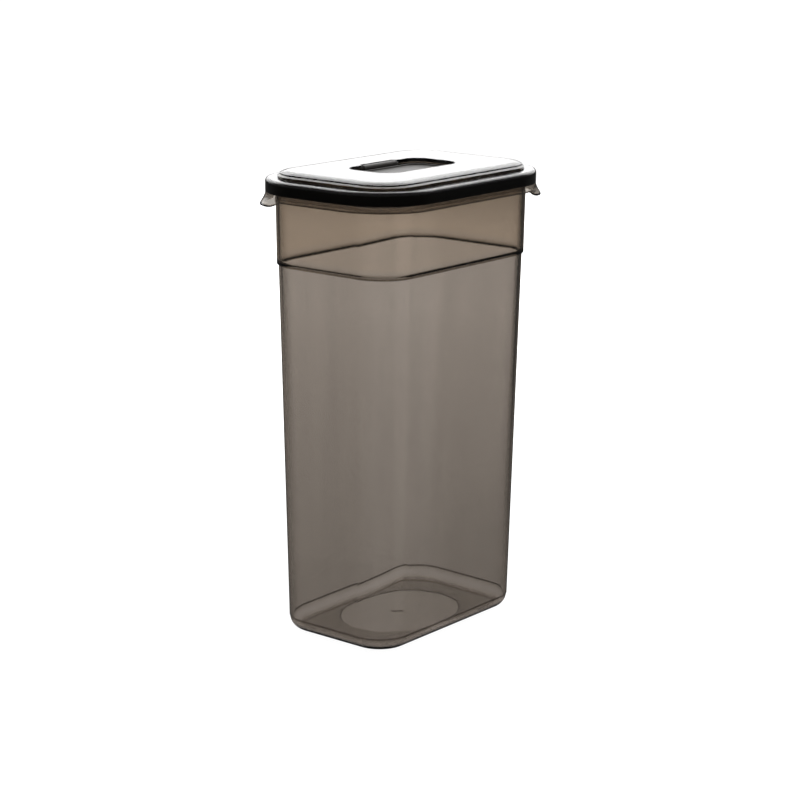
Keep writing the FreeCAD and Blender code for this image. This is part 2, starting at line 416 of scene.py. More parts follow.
class Board:
    """A node tree that a finish is drawn on."""

    def __init__(self, tree: bpy.types.NodeTree) -> None:
        """Clears the tree."""
        tree.nodes.clear()
        self.tree = tree

    def node(
        self,
        kind: str,
        settings: Mapping[str, Any] | None = None,
        sockets: Mapping[Any, Any] | None = None,
        output: Any = 0,
    ) -> Signal:
        """Adds a node.

        Args:
            kind: the node's type.
            settings: its properties, set first.
            sockets: values or links of its inputs, by name or number.
            output: which output to give back.

        Returns:
            That output.
        """
        made = self.tree.nodes.new(kind)
        for name, value in (settings or {}).items():
            setattr(made, name, value)
        for name, value in (sockets or {}).items():
            if isinstance(value, Signal):
                self.tree.links.new(value.socket, made.inputs[name])
            else:
                made.inputs[name].default_value = value
        return Signal(self, made.outputs[output] if len(made.outputs) else None)

    def maths(self, operation: str, first: Number, second: Number) -> Signal:
        """A Math node on two values."""
        return self.node("ShaderNodeMath", {"operation": operation}, {0: first, 1: second})

    def blend(self, share: Number, first: Any, second: Any) -> Signal:
        """A colour between two colours."""
        return self.node("ShaderNodeMix", {"data_type": "RGBA"}, {0: share, 6: first, 7: second}, 2)

    def cloud(self, place: Signal, size: float, detail: float = 2.0) -> Signal:
        """Noise with features of a size in millimetres, between 0 and 1."""
        sockets = {"Vector": place, "Scale": 1 / (size * MILLIMETRE), "Detail": detail}
        return self.node("ShaderNodeTexNoise", None, sockets)

    def place(self) -> Signal:
        """The piece's own coordinates, in metres."""
        return self.node("ShaderNodeTexCoord", output="Object")

    def along(self, vector: Signal, side: Colour) -> Signal:
        """How far a vector reaches along a direction."""
        sockets = {0: vector, 1: side}
        return self.node("ShaderNodeVectorMath", {"operation": "DOT_PRODUCT"}, sockets, "Value")

    def climb(self, value: Signal, low: float, high: float, step: str = "LINEAR") -> Signal:
        """A climb from 0 to 1 between two values."""
        sockets = {"Value": value, "From Min": low, "From Max": high}
        return self.node("ShaderNodeMapRange", {"interpolation_type": step}, sockets)

    def grain(self, height: Signal, depth: float) -> Signal:
        """The normal of a surface with a relief of a depth in millimetres."""
        sockets = {"Strength": 1.0, "Distance": depth * MILLIMETRE, "Height": height}
        return self.node("ShaderNodeBump", None, sockets)

    def from_camera(self) -> Signal:
        """1 for rays that come straight from the camera, else 0."""
        return self.node("ShaderNodeLightPath", output="Is Camera Ray")


def opaque(colour: Colour) -> tuple[float, float, float, float]:
    """A colour with full alpha."""
    return (*colour, 1.0)


def blank(name: str) -> tuple[bpy.types.Material, Board]:
    """A new material and the empty board of its nodes."""
    material = bpy.data.materials.new(name)
    material.use_nodes = True
    return material, Board(material.node_tree)


@dataclass(frozen=True)
class Band:
    """A level band of a wall where its tint is deeper, most of them painted shade, such as dark lines
    painted where refraction darkens the wall.

    Attributes:
        height: height of its middle.
        half: half its height.
        tone: share of red, green and blue that it lets through.
        soft: how far it fades above and below.
    """

    height: float
    half: float
    tone: Colour
    soft: float = 0.3


TUB_TINT_AND_SHADE_BANDS = (
    # The collar, which is warmer, and painted shade on its top behind the lid's skirt.
    Band(230.0, 21.0, (0.935, 0.89, 0.83)),
    Band(248.6, 3.5, (0.56, 0.52, 0.47)),
    # The step: a soft painted shade over it, and a dark line painted along it as shade.
    Band(211.0, 1.5, (0.88, 0.85, 0.81), 1.5),
    Band(208.75, 0.3, (0.43, 0.41, 0.38)),
    # The base: a dark line painted as shade at the top of its round, painted shade over its round, and
    # painted shade at the edge that it rests on.
    Band(7.3, 0.3, (0.22, 0.2, 0.19)),
    Band(4.2, 2.7, (0.8, 0.78, 0.77)),
    Band(0.0, 0.3, (0.74, 0.72, 0.7), 0.25),
)


@dataclass(frozen=True)
class ClearPlastic:
    """Clear tinted plastic.

    Attributes:
        name: the material's name.
        wall: thickness that the tint is given for.
        passes: share of red, green and blue that such a wall lets through.
        refraction: refractive index.
        polish: roughness where it is cleanest.
        haze: roughness added where it was handled most.
        smear_size: width of the smears.
        print_size: width of the marks in a smear.
        ripple: height of the moulded ripple.
        ripple_size: width of the ripple.
        fine: height of the fine ripple, as a share of the other.
        fine_size: width of the fine ripple.
        draw: how many times longer its streaks are along the height.
        streak: share of light that the darkest streak takes.
        bands: level bands with a deeper tint, most of them painted shade.
    """

    name: str
    wall: float
    passes: Colour
    refraction: float = 1.5
    polish: float = 0.015
    haze: float = 0.03
    smear_size: float = 18.0
    print_size: float = 1.2
    ripple: float = 0.02
    ripple_size: float = 28.0
    fine: float = 0.006
    fine_size: float = 0.9
    draw: float = 1.0
    streak: float = 0.03
    bands: tuple[Band, ...] = ()

    def make(self) -> bpy.types.Material:
        """The material: refracting surface with a faint ripple, and even absorption inside.

        A band's tone goes over into the streaky one by a smooth step of |z - height|, from half to
        half + soft. Inside, a path lets passes^(path / wall) through.

        Returns:
            The material.
        """
        material, board = blank(self.name)
        place = board.place()
        drawn = board.node(
            "ShaderNodeMapping", None, {"Vector": place, "Scale": (1.0, 1.0, 1 / self.draw)}
        )
        smear = board.cloud(place, self.smear_size, 3.0) * board.cloud(place, self.print_size, 4.0)
        flow = board.cloud(drawn, 0.5 * self.ripple_size)
        ripple = board.cloud(drawn, self.ripple_size, 1.0) + self.fine * board.cloud(place, self.fine_size)
        deep = 1 - self.streak
        tone = board.blend(flow, opaque(WHITE), opaque((deep, deep, deep)))
        height = board.along(place, UP)
        # Painted shade: each band deepens the tone at its height, standing in for shade and refraction
        # darkness.
        for band in self.bands:
            off = board.maths("ABSOLUTE", height - band.height * MILLIMETRE, 0.0)
            inner, outer = band.half * MILLIMETRE, (band.half + band.soft) * MILLIMETRE
            tone = board.blend(board.climb(off, inner, outer, SMOOTH), opaque(band.tone), tone)
        surface = board.node(
            "ShaderNodeBsdfPrincipled",
            sockets={
                "Base Color": tone,
                "Roughness": self.polish + self.haze * smear,
                "IOR": self.refraction,
                "Transmission Weight": 1.0,
                "Normal": board.grain(ripple, self.ripple),
            },
        )
        loss = -np.log(np.array(self.passes)) / (self.wall * MILLIMETRE)
        density = float(loss.max()) / DEEPEST_TINT
        tint = opaque(tuple(float(c) for c in 1 - loss / density))
        inside = board.node("ShaderNodeVolumeAbsorption", sockets={"Color": tint, "Density": density})
        board.node("ShaderNodeOutputMaterial", sockets={"Surface": surface, "Volume": inside})
        return material


@dataclass(frozen=True)
class SatinPlastic:
    """Deep tinted plastic with a fine satin texture.

    Attributes:
        name: the material's name.
        colour: its colour.
        worn: its colour where it was rubbed.
        roughness: roughness of the texture.
        polish: roughness lost where it was rubbed.
        rub_size: width of the rubbed patches.
        grain: height of the texture.
        grain_size: width of its grains.
        grain_haze: roughness added on them.
        refraction: refractive index.
        shine: strength of its reflections.
    """

    name: str
    colour: Colour
    worn: Colour
    roughness: float = 0.42
    polish: float = 0.06
    rub_size: float = 9.0
    grain: float = 0.012
    grain_size: float = 0.35
    grain_haze: float = 0.08
    refraction: float = 1.5
    shine: float = 0.2

    def make(self) -> bpy.types.Material:
        """The material: a fine grain in height and colour, smoother where it was rubbed.

        Returns:
            The material.
        """
        material, board = blank(self.name)
        place = board.place()
        rubbed, grain = board.cloud(place, self.rub_size, 3.0), board.cloud(place, self.grain_size, 3.0)
        surface = board.node(
            "ShaderNodeBsdfPrincipled",
            sockets={
                "Base Color": board.blend(rubbed, opaque(self.colour), opaque(self.worn)),
                "Roughness": self.roughness + self.grain_haze * grain - self.polish * rubbed,
                "IOR": self.refraction,
                "Specular IOR Level": self.shine,
                "Normal": board.grain(grain, self.grain),
            },
        )
        board.node("ShaderNodeOutputMaterial", sockets={"Surface": surface})
        return material


@dataclass(frozen=True)
class Silicone:
    """Matt silicone rubber.

    Attributes:
        name: the material's name.
        colour: its colour.
        bloom: its colour where dust and bloom lie.
        roughness: roughness of the skin.
        bloom_size: width of the patches of bloom.
        bloom_haze: roughness added on them.
        grain: height of the skin's grain.
        grain_size: width of its grains.
        refraction: refractive index.
        shine: strength of its reflections.
    """

    name: str
    colour: Colour
    bloom: Colour
    roughness: float = 0.5
    bloom_size: float = 12.0
    bloom_haze: float = 0.15
    grain: float = 0.01
    grain_size: float = 0.25
    refraction: float = 1.42
    shine: float = 0.2

    def make(self) -> bpy.types.Material:
        """The material: a dull skin with a fine grain and faint bloom.

        Returns:
            The material.
        """
        material, board = blank(self.name)
        place = board.place()
        bloom, grain = board.cloud(place, self.bloom_size, 4.0), board.cloud(place, self.grain_size)
        surface = board.node(
            "ShaderNodeBsdfPrincipled",
            sockets={
                "Base Color": board.blend(bloom * grain, opaque(self.colour), opaque(self.bloom)),
                "Roughness": self.roughness + self.bloom_haze * bloom,
                "IOR": self.refraction,
                "Specular IOR Level": self.shine,
                "Normal": board.grain(grain, self.grain),
            },
        )
        board.node("ShaderNodeOutputMaterial", sockets={"Surface": surface})
        return material


@dataclass(frozen=True)
class LightTable:
    """The pale table, lit from inside, that the keeper stands on.

    Attributes:
        name: the material's name.
        light: its lightest tone.
        dim: its darkest tone.
        near: brightness of the light inside, where the keeper stands.
        far: brightness of the light inside, at its far end.
        ahead: direction of its far end.
        reach: how far away the light is brightest, in metres.
        rest: brightness of the light inside, beyond the far end.
        fade: from where to where it falls to that, in metres.
        painted_side_shade: brightness of the glow at both sides for the keeper's plastic, a painted shade
            in the glow, as dark cards would cast.
        lane: from where to where the painted side shade begins, in metres from the lane's middle.
        lane_left: how far the lane's middle lies to the left, in metres.
        lane_spread: how much wider the lane gets per metre ahead.
        lane_start: how far ahead the shade is full, in metres.
        roughness: roughness of its top.
        cloud_size: width of the clouds in its tone.
        cloud_haze: roughness added on them.
        shine: strength of its reflections.
    """

    name: str
    light: Colour
    dim: Colour
    near: float
    far: float
    ahead: Colour
    reach: float = 0.9
    rest: float = 0.9
    fade: tuple[float, float] = (1.4, 1.8)
    painted_side_shade: float = 0.2
    lane: tuple[float, float] = (0.125, 0.425)
    lane_left: float = 0.15
    lane_spread: float = 0.25
    lane_start: float = 0.15
    roughness: float = 0.9
    cloud_size: float = 300.0
    cloud_haze: float = 0.05
    shine: float = 0.1

    def make(self) -> bpy.types.Material:
        """The material: matt, with a faint cloud in its tone, and glowing more towards its far end.

        With a metres ahead and b metres to the right, the glow rises from near to far as a / reach. The
        keeper's plastic sees it shaded where |b + lane_left| - lane_spread * a passes the lane, a > 0.
        The camera sees the table without the shade.

        Returns:
            The material.
        """
        material, board = blank(self.name)
        place = board.place()
        cloud = board.cloud(place, self.cloud_size)

        def grey(level: float) -> tuple[float, float, float, float]:
            """A brightness as a share of the far end's."""
            return opaque((level / self.far,) * 3)

        forward = board.along(place, self.ahead)
        right = board.along(place, (self.ahead[1], -self.ahead[0], 0.0))
        # Painted shade in the glow at both sides, seen by the keeper's plastic and not by the camera.
        off = board.maths("ABSOLUTE", right + self.lane_left, 0.0) - self.lane_spread * forward
        begun = board.climb(forward, 0.0, self.lane_start)
        shade = board.climb(off, *self.lane) * begun * (1 - board.from_camera())
        glow = board.blend(board.climb(forward, 0.0, self.reach), grey(self.near), grey(self.far))
        glow = board.blend(shade, glow, grey(self.painted_side_shade))
        surface = board.node(
            "ShaderNodeBsdfPrincipled",
            sockets={
                "Base Color": board.blend(cloud, opaque(self.light), opaque(self.dim)),
                "Roughness": self.roughness + self.cloud_haze * cloud,
                "Specular IOR Level": self.shine,
                "Emission Color": board.blend(board.climb(forward, *self.fade), glow, grey(self.rest)),
                "Emission Strength": self.far,
            },
        )
        board.node("ShaderNodeOutputMaterial", sockets={"Surface": surface})
        return material


@dataclass(frozen=True)
class Finishes:
    """The keeper's materials."""

    tub: bpy.types.Material
    lid: bpy.types.Material
    flap: bpy.types.Material
    seal: bpy.types.Material
    table: bpy.types.Material

    @classmethod
    def mixed(cls, ahead: Colour) -> Finishes:
        """Makes every material once.

        Args:
            ahead: direction of the table's far end.

        Returns:
            The finishes.
        """
        tub = ClearPlastic(
            "tub smoke",
            wall=1.8,
            passes=(0.447, 0.418, 0.39),
            ripple_size=22.0,
            draw=12.0,
            streak=0.12,
            bands=TUB_TINT_AND_SHADE_BANDS,
        )
        lid = ClearPlastic("lid smoke", wall=1.4, passes=(0.48, 0.45, 0.415), ripple_size=45.0)
        flap = SatinPlastic("flap smoke", colour=(0.07, 0.066, 0.061), worn=(0.1, 0.095, 0.09))
        seal = Silicone("seal black", colour=(0.002, 0.002, 0.002), bloom=(0.006, 0.006, 0.006))
        table = LightTable(
            "light table", light=(0.1, 0.1, 0.1), dim=(0.09, 0.09, 0.09), near=0.98, far=1.98, ahead=ahead
        )
        return cls(tub.make(), lid.make(), flap.make(), seal.make(), table.make())


@dataclass(frozen=True)
class Tub:
    """The tub: tapered wall, step, collar, rim and dished floor."""

    rim: Outline
    rim_top: float
    rim_reach: float = 4.25
    rim_thickness: float = 2.0
    rim_edge: float = 0.7
    rim_cove: float = 0.9
    mouth_edge: float = 0.5
    wall: float = 1.8
    floor: float = 2.2
    collar_height: float = 42.2
    collar_draft: float = 0.57
    collar_corner: float = 21.95
    step_out: float = 0.98
    step_edge: float = 0.4
    step_fall: float = 0.5
    inner_step_lift: float = 0.6
    inner_step_rise: float = 2.2
    inner_collar_round: float = 12.0
    inner_step_round: float = 6.0
    wall_draft: float = 3.92
    corner_draft: float = 0.8
    base_edge: float = 7.2
    inner_edge: float = 3.2
    base_step: float = 0.3
    witness_heights: tuple[float, float] = (0.05, 0.25)
    witness_edges: tuple[float, float] = (0.03, 0.08)
    cove_rows: int = 15
    oval_length: float = 78.0
    oval_side_gap: float = 2.3
    oval_rise: float = 0.8
    oval_slope: float = 0.6
    oval_crest: float = 0.5
    oval_foot: float = 0.4
    floor_rings: tuple[float, ...] = (0.25, 0.4, 0.49)
    gate_span: float = 5.5
    gate_dot: float = 1.3
    gate_bar: float = 0.5
    gate_height: float = 0.75
    gate_turn: float = -51.0
    gate_reach: float = 4.6
    gate_core: float = 0.3
    gate_rings: int = 17
    gate_soft: float = 0.3
    gate_bar_share: float = 0.6

    @classmethod
    def from_frame(cls, rim_corner: float = 31.4) -> Tub:
        """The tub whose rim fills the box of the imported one."""
        low, high = node_box("container_body")
        return cls(Outline(high[0] - low[0], high[1] - low[1], rim_corner), high[2])

    @property
    def rim_low(self) -> float:
        """Height of the rim's underside."""
        return self.rim_top - self.rim_thickness

    @property
    def collar_top(self) -> Outline:
        """Outline of the collar under the rim."""
        return replace(self.rim.grown(-self.rim_reach), radius=self.collar_corner)

    @property
    def mouth(self) -> Outline:
        """Inside outline at the top."""
        return self.collar_top.grown(-self.wall)

    def build(self) -> Shell:
        """The wall from the underside's centre out, up, over the rim, down inside and in over the floor.

        Returns:
            The tub's shell.
        """
        step = self.rim_low - self.collar_height
        collar_foot = self.collar_top.grown(-self.collar_draft)
        shoulder = collar_foot.grown(-self.step_out)
        foot = shoulder.grown(-self.wall_draft)
        foot = replace(foot, radius=shoulder.radius - self.corner_draft)
        low_wall = foot.towards(shoulder, self.base_edge / step)
        plinth = low_wall.grown(-self.base_step)
        oval_width = foot.width - 2 * (self.base_edge + self.oval_side_gap)
        oval = Outline(self.oval_length, oval_width, oval_width / 2, oval=1.0)
        inner_step, edge = step + self.inner_step_lift, self.step_edge
        collar_low = collar_foot.towards(self.collar_top, self.inner_step_rise / self.collar_height)
        witness, sharp = self.base_edge + np.array(self.witness_heights), self.witness_edges
        rings = np.linspace(self.gate_core, self.gate_reach, self.gate_rings)
        turns = [Turn(Outline(2 * r, 2 * r, r, oval=1.0), self.oval_rise) for r in rings]
        turns += [
            Turn(oval.grown(-self.oval_slope), self.oval_rise, self.oval_crest),
            Turn(oval, 0.0, self.oval_foot),
            *self.cove(plinth, self.base_edge, 0.0)[::-1],
            Turn(plinth, witness[0], sharp[0]),
            Turn(low_wall, witness[1], sharp[1]),
            Turn(shoulder, step - self.step_fall / 2, edge),
            Turn(collar_foot, step + self.step_fall / 2, edge),
            Turn(self.collar_top, self.rim_low, self.rim_cove),
            Turn(self.rim, self.rim_low, self.rim_edge),
            Turn(self.rim, self.rim_top, self.rim_edge),
            Turn(self.mouth, self.rim_top, self.mouth_edge),
            Turn(collar_low.grown(-self.wall), step + self.inner_step_rise, self.inner_collar_round),
            Turn(shoulder.grown(-self.wall), inner_step, self.inner_step_round),
            *self.cove(low_wall.grown(-self.wall), self.inner_edge, self.floor),
        ]
        turns += [Turn(oval.grown(-share * oval_width), self.floor) for share in self.floor_rings]
        grid = wall_points(profile_rows(turns, closed=False), Lap.round_all(CORNER_STEPS))
        grid[: len(rings), :, 2] -= self.gate_mark(grid[: len(rings), :, 0], grid[: len(rings), :, 1])
        return Shell.skin(grid, closed=False)

    def cove(self, wall: Outline, radius: float, low: float) -> list[Turn]:
        """Rows of a quarter round from a wall down to a floor: radius * (1 - cos a) in, (1 - sin a) up."""
        angles = np.linspace(0, math.pi / 2, self.cove_rows)
        return [
            Turn(wall.grown(-radius * (1 - math.cos(a))), low + radius * (1 - math.sin(a))) for a in angles
        ]

    def gate_mark(self, x: Array, y: Array) -> Array:
        """Height of the gate mark under the base: two dots and the bar between them, with soft edges.

        With a along the mark and b across it, a dot is clip((radius - |(|a| - span / 2, b)|) / soft + 1/2),
        the bar is a share of clip((half width - |b|) / soft + 1/2) between them, and the higher one counts.

        Args:
            x: places along X.
            y: places along Y.

        Returns:
            The height at each place.
        """
        turn, soft = math.radians(self.gate_turn), self.gate_soft
        along = np.abs(x * math.cos(turn) + y * math.sin(turn))
        across = np.abs(y * math.cos(turn) - x * math.sin(turn))
        dot = (self.gate_dot - np.hypot(along - self.gate_span / 2, across)) / soft + 0.5
        bar = ((self.gate_bar - across) / soft + 0.5) * (along < self.gate_span / 2)
        return self.gate_height * np.clip(np.maximum(dot, self.gate_bar_share * bar), 0, 1)

    def dress(self, finishes: Finishes) -> None:
        """Makes the tub in clear smoke."""
        piece = make_piece("tub", [self.build()], finishes.tub)
        seat(piece, Body.CONTAINER, "container_body")


@dataclass(frozen=True)
class RimSeal:
    """The black seal: a web on the rim and a leg that hangs down outside it."""

    tub: Tub
    outside: Outline
    low: float
    high: float
    leg: float = 1.5
    web_margin: float = 1.0
    slack: float = 0.05
    bond: float = 0.2
    bond_up: float = 1.45
    bond_edge: float = 1.5
    edge: float = 0.4

    @classmethod
    def from_frame(cls, tub: Tub, corner: float = 33.3) -> RimSeal:
        """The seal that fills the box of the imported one."""
        low, high = node_box("rim_seal")
        return cls(tub, Outline(high[0] - low[0], high[1] - low[1], corner), low[2], high[2])

    def build(self) -> Shell:
        """The ring's section: leg outside, web on top, then back under the web and down the leg.

        Returns:
            The seal's shell.
        """
        inside = self.outside.grown(-self.leg)
        bonded = self.outside.grown(self.bond)
        over_mouth = self.tub.mouth.grown(self.web_margin)
        top, under = self.high + self.bond_up, self.tub.rim_top + self.slack
        turns = [
            Turn(bonded, self.low, self.edge),
            Turn(bonded, top, self.bond_edge),
            Turn(over_mouth, top, self.edge),
            Turn(over_mouth, under, self.edge),
            Turn(inside, under, self.edge),
            Turn(inside, self.low, self.edge),
        ]
        return wall_shell(turns, Lap.round_all(CORNER_STEPS), closed=True)

    def dress(self, finishes: Finishes) -> None:
        """Makes the seal in black silicone."""
        seat(make_piece("seal", [self.build()], finishes.seal), Body.LID, "rim_seal")


@dataclass(frozen=True)
class LidFrame:
    """The lid's outer moulding: flange, skirt, plug, centring rib and two pull tabs."""

    tub: Tub
    flange: Outline
    rib_top: float
    skirt_wall: float = 1.4
    skirt_drop: float = 8.1
    seal_web: float = 1.4
    flange_thickness: float = 1.9
    shoulder: float = 2.2
    plug_clearance: float = 0.43
    plug_wall: float = 1.4
    plug_drop: float = 5.9
    plug_ledge: float = 1.3
    rib_set_in: float = 1.33
    tab_reach: float = 3.4
    tab_drop: float = 3.1
    tab_blend: float = 3.5
    tab_half_angle: float = 32.0
    tab_bluntness: int = 6
    tab_rows: int = 6
    hem: float = 0.55
    hem_clear: float = 1.21
    edge: float = 0.3

    @classmethod
    def from_frame(cls, tub: Tub, corner: float = 34.8) -> LidFrame:
        """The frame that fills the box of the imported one."""
        low, high = node_box("lid_frame")
        return cls(tub, Outline(high[0] - low[0], high[1] - low[1], corner), high[2])

    @property
    def skirt_low(self) -> float:
        """Height of the skirt's lower edge between the tabs."""
        return self.tub.rim_top - self.skirt_drop

    @property
    def flange_top(self) -> float:
        """Height of the flange's upper face."""
        return self.tub.rim_top + self.seal_web + self.flange_thickness

    def build(self) -> Shell:
        """The section: skirt up, flange in, rib, opening down, plug, channel and back down the skirt.

        Returns:
            The frame's shell.
        """
        inside = self.flange.grown(-self.skirt_wall)
        plug = self.tub.mouth.grown(-self.plug_clearance)
        plug_inside = plug.grown(-self.plug_wall)
        opening = plug_inside.grown(-self.plug_ledge)
        rib = self.tub.mouth.grown(-self.rib_set_in)
        ceiling = self.flange_top - self.flange_thickness
        plug_low = self.tub.rim_top - self.plug_drop
        heights = self.skirt_low + np.linspace(self.hem_clear, self.tab_blend, self.tab_rows)
        turns = [Turn(self.flange, self.skirt_low, self.hem)]
        turns += [Turn(self.flange, height) for height in heights]
        turns += [
            Turn(self.flange, self.flange_top, self.shoulder),
            Turn(rib, self.flange_top, self.edge),
            Turn(rib, self.rib_top, self.edge),
            Turn(opening, self.rib_top, self.edge),
            Turn(opening, ceiling, self.edge),
            Turn(plug_inside, ceiling, self.edge),
            Turn(plug_inside, plug_low, self.edge),
            Turn(plug, plug_low, self.edge),
            Turn(plug, ceiling, self.edge),
            Turn(inside, ceiling, self.edge),
        ]
        turns += [Turn(inside, height) for height in heights[::-1]]
        turns += [Turn(inside, self.skirt_low, self.hem)]
        rows = profile_rows(turns, closed=True)
        lap = Lap.round_all(FLANGE_STEPS)
        return Shell.skin(self.flared(wall_points(rows, lap), rows, lap), closed=True)

    def flared(self, grid: Array, rows: Array, lap: Lap) -> Array:
        """The grid with its skirt flared at two corners.

        Seen from above, a tab is a crescent: with p the angle from the corner's middle, its edge lies at
        r(p) = c cos p + sqrt(d^2 - c^2 sin^2 p), an arc that meets the corner's own arc R at the tab's two
        ends. With s from 0 at the top of the flare to 1 at the skirt's edge, points move out by
        (r - R) * s^2, and down by drop * (1 - (p / half angle)^bluntness) * s^2.

        Args:
            grid: points by row, place and axis.
            rows: their profile rows.
            lap: their places.

        Returns:
            The flared grid.
        """
        middle = np.array([1, -1]) / math.sqrt(2)
        at_corner = np.abs(np.abs(lap.share).sum(1) - 2) < CLOSE
        turn = np.arccos(np.clip(np.abs(lap.direction @ middle), 0, 1))
        half = math.radians(self.tab_half_angle)
        inside = at_corner & (turn < half)
        corner, tip = self.flange.radius, self.flange.radius + self.tab_reach
        centre = (tip ** 2 - corner ** 2) / (2 * (tip - corner * math.cos(half)))
        bend = np.sqrt((tip - centre) ** 2 - (centre * np.sin(turn)) ** 2)
        reach = np.where(inside, centre * np.cos(turn) + bend - corner, 0)
        drop = np.where(inside, self.tab_drop * (1 - (turn / half) ** self.tab_bluntness), 0)
        s = np.clip((self.skirt_low + self.tab_blend - rows[:, 5]) / self.tab_blend, 0, 1)
        s = s * (rows[:, 1] > self.flange.width / 2 - self.skirt_wall - NEAR)
        amount = s[:, None] ** 2
        flared = grid.copy()
        flared[:, :, :2] += (amount * reach)[:, :, None] * lap.direction
        flared[:, :, 2] -= amount * drop
        return flared

    def dress(self, finishes: Finishes) -> None:
        """Makes the frame in the lid's smoke."""
        seat(make_piece("lid_rim", [self.build()], finishes.lid), Body.LID, "lid_frame")


@dataclass(frozen=True)
class LidPanel:
    """The raised top: side, rolled edge, recess with the hinge pocket, pour mouth and neck."""

    rim: LidFrame
    outline: Outline
    top: float
    neck_low: float
    slack: float = 0.05
    side: float = 2.5
    foot: float = 1.05
    bevel: float = 1.35
    bevel_rise: float = 0.8
    bevel_edge: float = 0.25
    side_edge: float = 0.15
    wall: float = 1.8
    thickness: float = 2.35
    roll_width: float = 5.4
    roll_rise: float = 1.3
    roll_power: float = 2.8
    roll_rows: int = 8
    top_rings: tuple[float, ...] = (8.0, 3.5)
    recess: Outline = Outline(63.5, 33.5, 10.0)
    recess_edge: float = 0.45
    ledge_drop: float = 6.2
    ledge_width: float = 4.75
    ledge_thickness: float = 1.8
    well_wall: float = 1.8
    neck_wall: float = 1.6
    pocket_half: float = 14.3
    pocket_depth: float = 2.4
    edge: float = 0.3

    @classmethod
    def from_frame(cls, rim: LidFrame, corner: float = 20.77) -> LidPanel:
        """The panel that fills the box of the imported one."""
        low, high = node_box("lid_panel")
        return cls(rim, Outline(high[0] - low[0], high[1] - low[1], corner), high[2], low[2])

    def build(self) -> Shell:
        """The section: foot, bevel and side up, roll in, recess, neck, then back under the plate.

        The roll is z = top - rise * (1 - s)^power at an inset of width * s.

        Returns:
            The panel's shell.
        """
        base = self.rim.flange_top + self.slack
        side_top = self.rim.flange_top + self.side
        inside, rolled = self.outline.grown(-self.wall), self.outline.grown(-self.bevel)
        under = self.top - self.thickness
        ledge, ledge_low = self.top - self.ledge_drop, self.top - self.ledge_drop - self.ledge_thickness
        mouth = self.recess.grown(-self.ledge_width)
        neck, well = mouth.grown(self.neck_wall), self.recess.grown(self.well_wall)
        depth = self.pocket_depth
        shares = np.linspace(0, 1, self.roll_rows + 1)[1:]
        turns = [
            Turn(self.outline, base, self.edge),
            Turn(self.outline, base + self.foot, self.edge),
            Turn(rolled, base + self.foot + self.bevel_rise, self.bevel_edge),
            Turn(rolled, side_top, self.side_edge),
        ]
        turns += [
            Turn(rolled.grown(-self.roll_width * s), self.top - self.roll_rise * (1 - s) ** self.roll_power)
            for s in shares
        ]
        turns += [Turn(self.recess.grown(by), self.top) for by in self.top_rings]
        turns += [
            Turn(self.recess, self.top, self.recess_edge, depth),
            Turn(self.recess, ledge, self.edge, depth),
            Turn(mouth, ledge, self.edge),
            Turn(mouth, self.neck_low, self.edge),
            Turn(neck, self.neck_low, self.edge),
            Turn(neck, ledge_low, self.edge),
            Turn(well, ledge_low, self.edge, depth),
            Turn(well, under, self.edge, depth),
            Turn(inside, under, self.edge),
            Turn(inside, base, self.edge),
        ]
        return wall_shell(turns, Lap.round_all(CORNER_STEPS, Notch(self.pocket_half)), closed=True)

    def dress(self, finishes: Finishes) -> None:
        """Makes the panel in the lid's smoke."""
        seat(make_piece("lid_top", [self.build()], finishes.lid), Body.LID, "lid_panel")


